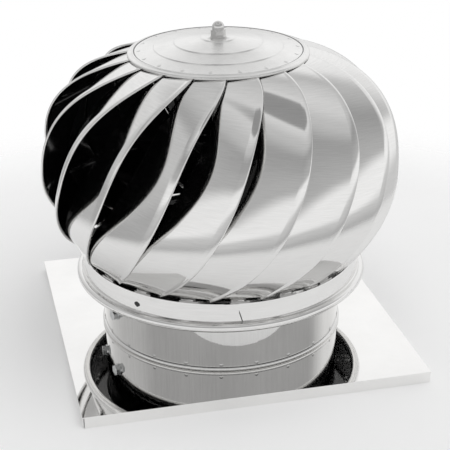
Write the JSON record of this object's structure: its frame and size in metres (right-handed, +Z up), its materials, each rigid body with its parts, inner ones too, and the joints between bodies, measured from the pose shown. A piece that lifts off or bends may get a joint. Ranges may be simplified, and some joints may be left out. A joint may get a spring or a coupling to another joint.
{
  "type": "roof turbine ventilator",
  "caption": "Wind-driven roof ventilator: a louvred turbine head of curved sheet blades spins on ball bearings above a fixed duct collar and a square base plate.",
  "frame": {"origin": "middle of the lower edge of the base plate's flanges, on the spin axis", "axes": "+Z up along the spin axis, X and Y along the base plate's sides"},
  "size_m": [0.3676, 0.3642, 0.3374],
  "materials": {
    "plate_steel": "mirror-polished stainless sheet",
    "collar_steel": "bright stainless sheet",
    "blade_steel": "bright annealed stainless sheet, fine drawn grain",
    "ring_steel": "bright stainless sheet",
    "cap_steel": "mirror-polished stainless sheet",
    "polished_steel": "polished stainless steel",
    "rivet_aluminium": "satin aluminium blind rivet",
    "zinc_fastener": "bright zinc plated",
    "galvanised_bracket": "galvanised sheet",
    "cast_housing": "machined aluminium casting",
    "turned_steel": "turned steel",
    "bearing_steel": "ground bearing steel",
    "cage_brass": "pressed brass",
    "seal_rubber": "matte rubber"
  },
  "bodies": {
    "base": {"base_plate": "plate_steel", "collar": "collar_steel", "collar_rivets": "rivet_aluminium", "bearing_bridge": "galvanised_bracket", "bridge_bolts": "zinc_fastener", "bridge_nuts": "zinc_fastener", "bearing_housing": "cast_housing", "housing_screws": "zinc_fastener", "housing_nuts": "zinc_fastener", "lower_outer_race": "bearing_steel", "upper_outer_race": "bearing_steel", "circlip": "bearing_steel", "bearing_shield": "bearing_steel"},
    "turbine": {"blade_01": "blade_steel", "blade_02": "blade_steel", "blade_03": "blade_steel", "blade_04": "blade_steel", "blade_05": "blade_steel", "blade_06": "blade_steel", "blade_07": "blade_steel", "blade_08": "blade_steel", "blade_09": "blade_steel", "blade_10": "blade_steel", "blade_11": "blade_steel", "blade_12": "blade_steel", "blade_13": "blade_steel", "blade_14": "blade_steel", "blade_15": "blade_steel", "blade_16": "blade_steel", "blade_17": "blade_steel", "blade_18": "blade_steel", "ring": "ring_steel", "ring_rivets": "rivet_aluminium", "top_cap": "cap_steel", "cap_rivets": "rivet_aluminium", "cap_washer": "polished_steel", "acorn_nut": "polished_steel", "hub_disc": "cap_steel", "hub_bush": "turned_steel", "hub_spacer": "turned_steel", "spindle": "turned_steel", "spindle_washer": "zinc_fastener", "spindle_nut": "zinc_fastener", "lower_inner_race": "bearing_steel", "upper_inner_race": "bearing_steel", "inner_spacer": "turned_steel", "dust_seal": "seal_rubber"},
    "cage": {"ball_cages": "cage_brass", "bearing_balls": "bearing_steel"}
  },
  "joints": [
    {"name": "turbine_spin", "type": "hinge", "parent": "base", "child": "turbine", "pos_m": [0, 0, 0.12], "axis": [0, 0, 1], "continuous": true},
    {"name": "cage_spin", "type": "hinge", "parent": "base", "child": "cage", "pos_m": [0, 0, 0.093], "axis": [0, 0, 1], "continuous": true}
  ],
  "couplings": [
    {"joint": "cage_spin", "follows": "turbine_spin", "ratio": 0.366}
  ]
}
